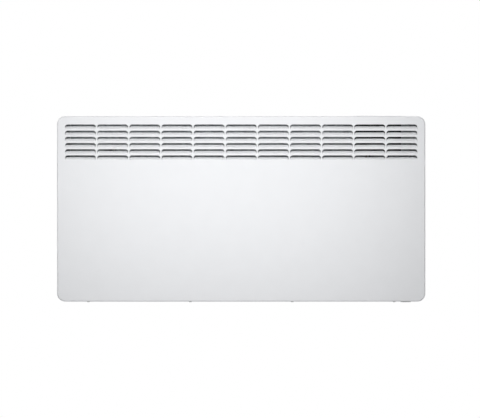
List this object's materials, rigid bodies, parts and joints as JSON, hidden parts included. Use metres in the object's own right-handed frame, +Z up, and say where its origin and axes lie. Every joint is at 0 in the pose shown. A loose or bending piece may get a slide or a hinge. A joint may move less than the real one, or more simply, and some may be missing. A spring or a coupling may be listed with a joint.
{
  "type": "wall panel convector heater",
  "caption": "Wide flat electric heater for a wall: louvred steel casing, finned heating element, controls on top, mains rocker below, and a bracket with hooks and quarter-turn locks.",
  "frame": {"origin": "on the wall, in the middle of the four wall screws, which is also the middle of the casing's width and height", "axes": "+Z up, -Y out of the wall towards the room, +X to the right of someone who looks at the front"},
  "size_m": [0.894, 0.123, 0.4528],
  "materials": {
    "casing_paint": "satin powder coat",
    "zinc_sheet": "galvanised, matt",
    "shield_sheet": "bright rolled sheet",
    "element_aluminium": "as extruded",
    "element_steel": "drawn tube with flat tabs",
    "bush_ceramic": "unglazed",
    "cutout_plastic": "moulded phenolic",
    "housing_plastic": "moulded, fine grain",
    "fascia_plastic": "moulded, fine grain",
    "window_plastic": "polished",
    "key_plastic": "moulded, fine grain",
    "mat_rubber": "moulded",
    "board_laminate": "solder resist",
    "display_panel": "polished front",
    "relay_plastic": "moulded",
    "capacitor_plastic": "moulded",
    "connector_plastic": "moulded",
    "ribbon_plastic": "ribbed",
    "switch_plastic": "moulded",
    "rocker_plastic": "moulded",
    "grommet_rubber": "moulded",
    "terminal_plastic": "moulded",
    "screw_steel": "zinc plated",
    "lead_live": "sleeve",
    "lead_return": "sleeve",
    "lead_earth": "sleeve",
    "lead_signal": "sleeve",
    "clip_plastic": "moulded",
    "sensor_bead": "dipped",
    "bracket_zinc": "galvanised, matt",
    "lock_plastic": "moulded"
  },
  "bodies": {
    "heater": {"front_panel": "casing_paint", "rear_panel": "zinc_sheet", "casing_screws": "screw_steel", "duct_side_left": "zinc_sheet", "duct_side_right": "zinc_sheet", "electronics_partition": "zinc_sheet", "heat_shield": "shield_sheet", "element_fins": "element_aluminium", "element_rod": "element_steel", "element_bush_left": "bush_ceramic", "element_bush_right": "bush_ceramic", "element_bracket_left": "zinc_sheet", "element_bracket_right": "zinc_sheet", "cutout_bracket": "zinc_sheet", "overheat_cutout": "cutout_plastic", "control_housing": "housing_plastic", "control_fascia": "fascia_plastic", "display_window": "window_plastic", "button_mat": "mat_rubber", "control_board": "board_laminate", "display_module": "display_panel", "power_board": "board_laminate", "power_relay": "relay_plastic", "filter_capacitor": "capacitor_plastic", "board_connector": "connector_plastic", "board_ribbon": "ribbon_plastic", "mains_switch_body": "switch_plastic", "cable_grommet": "grommet_rubber", "terminal_block": "terminal_plastic", "earth_screw": "screw_steel", "switch_lead": "lead_live", "return_lead": "lead_live", "cutout_lead": "lead_live", "load_lead": "lead_live", "supply_lead": "lead_return", "sensor_lead": "lead_signal", "earth_lead": "lead_earth", "sensor_clip": "clip_plastic", "room_sensor": "sensor_bead", "bracket_leg_left": "bracket_zinc", "bracket_leg_right": "bracket_zinc", "bracket_rail_top": "bracket_zinc", "bracket_rail_bottom": "bracket_zinc"},
    "menu_button": {"menu_button": "key_plastic"},
    "minus_button": {"minus_button": "key_plastic"},
    "plus_button": {"plus_button": "key_plastic"},
    "ok_button": {"ok_button": "key_plastic"},
    "standby_button": {"standby_button": "key_plastic"},
    "mains_rocker": {"mains_rocker": "rocker_plastic"},
    "bracket_lock_left": {"bracket_lock_left": "lock_plastic"},
    "bracket_lock_right": {"bracket_lock_right": "lock_plastic"}
  },
  "joints": [
    {"name": "menu_press", "type": "slide", "parent": "heater", "child": "menu_button", "axis": [0, 0, -1], "range_m": [0, 0.0008], "stiffness_N_per_m": 1500},
    {"name": "minus_press", "type": "slide", "parent": "heater", "child": "minus_button", "axis": [0, 0, -1], "range_m": [0, 0.0008], "stiffness_N_per_m": 1500},
    {"name": "plus_press", "type": "slide", "parent": "heater", "child": "plus_button", "axis": [0, 0, -1], "range_m": [0, 0.0008], "stiffness_N_per_m": 1500},
    {"name": "ok_press", "type": "slide", "parent": "heater", "child": "ok_button", "axis": [0, 0, -1], "range_m": [0, 0.0008], "stiffness_N_per_m": 1500},
    {"name": "standby_press", "type": "slide", "parent": "heater", "child": "standby_button", "axis": [0, 0, -1], "range_m": [0, 0.0008], "stiffness_N_per_m": 1500},
    {"name": "rocker_tilt", "type": "hinge", "parent": "heater", "child": "mains_rocker", "pos_m": [0.3995, -0.0824, -0.2197], "axis": [-1, 0, 0], "range_deg": [0, 10]},
    {"name": "lock_left_turn", "type": "hinge", "parent": "heater", "child": "bracket_lock_left", "pos_m": [-0.311, -0.019, 0.143], "axis": [0, 0, -1], "range_deg": [0, 90]},
    {"name": "lock_right_turn", "type": "hinge", "parent": "heater", "child": "bracket_lock_right", "pos_m": [0.311, -0.019, 0.143], "axis": [0, 0, 1], "range_deg": [0, 90]}
  ]
}
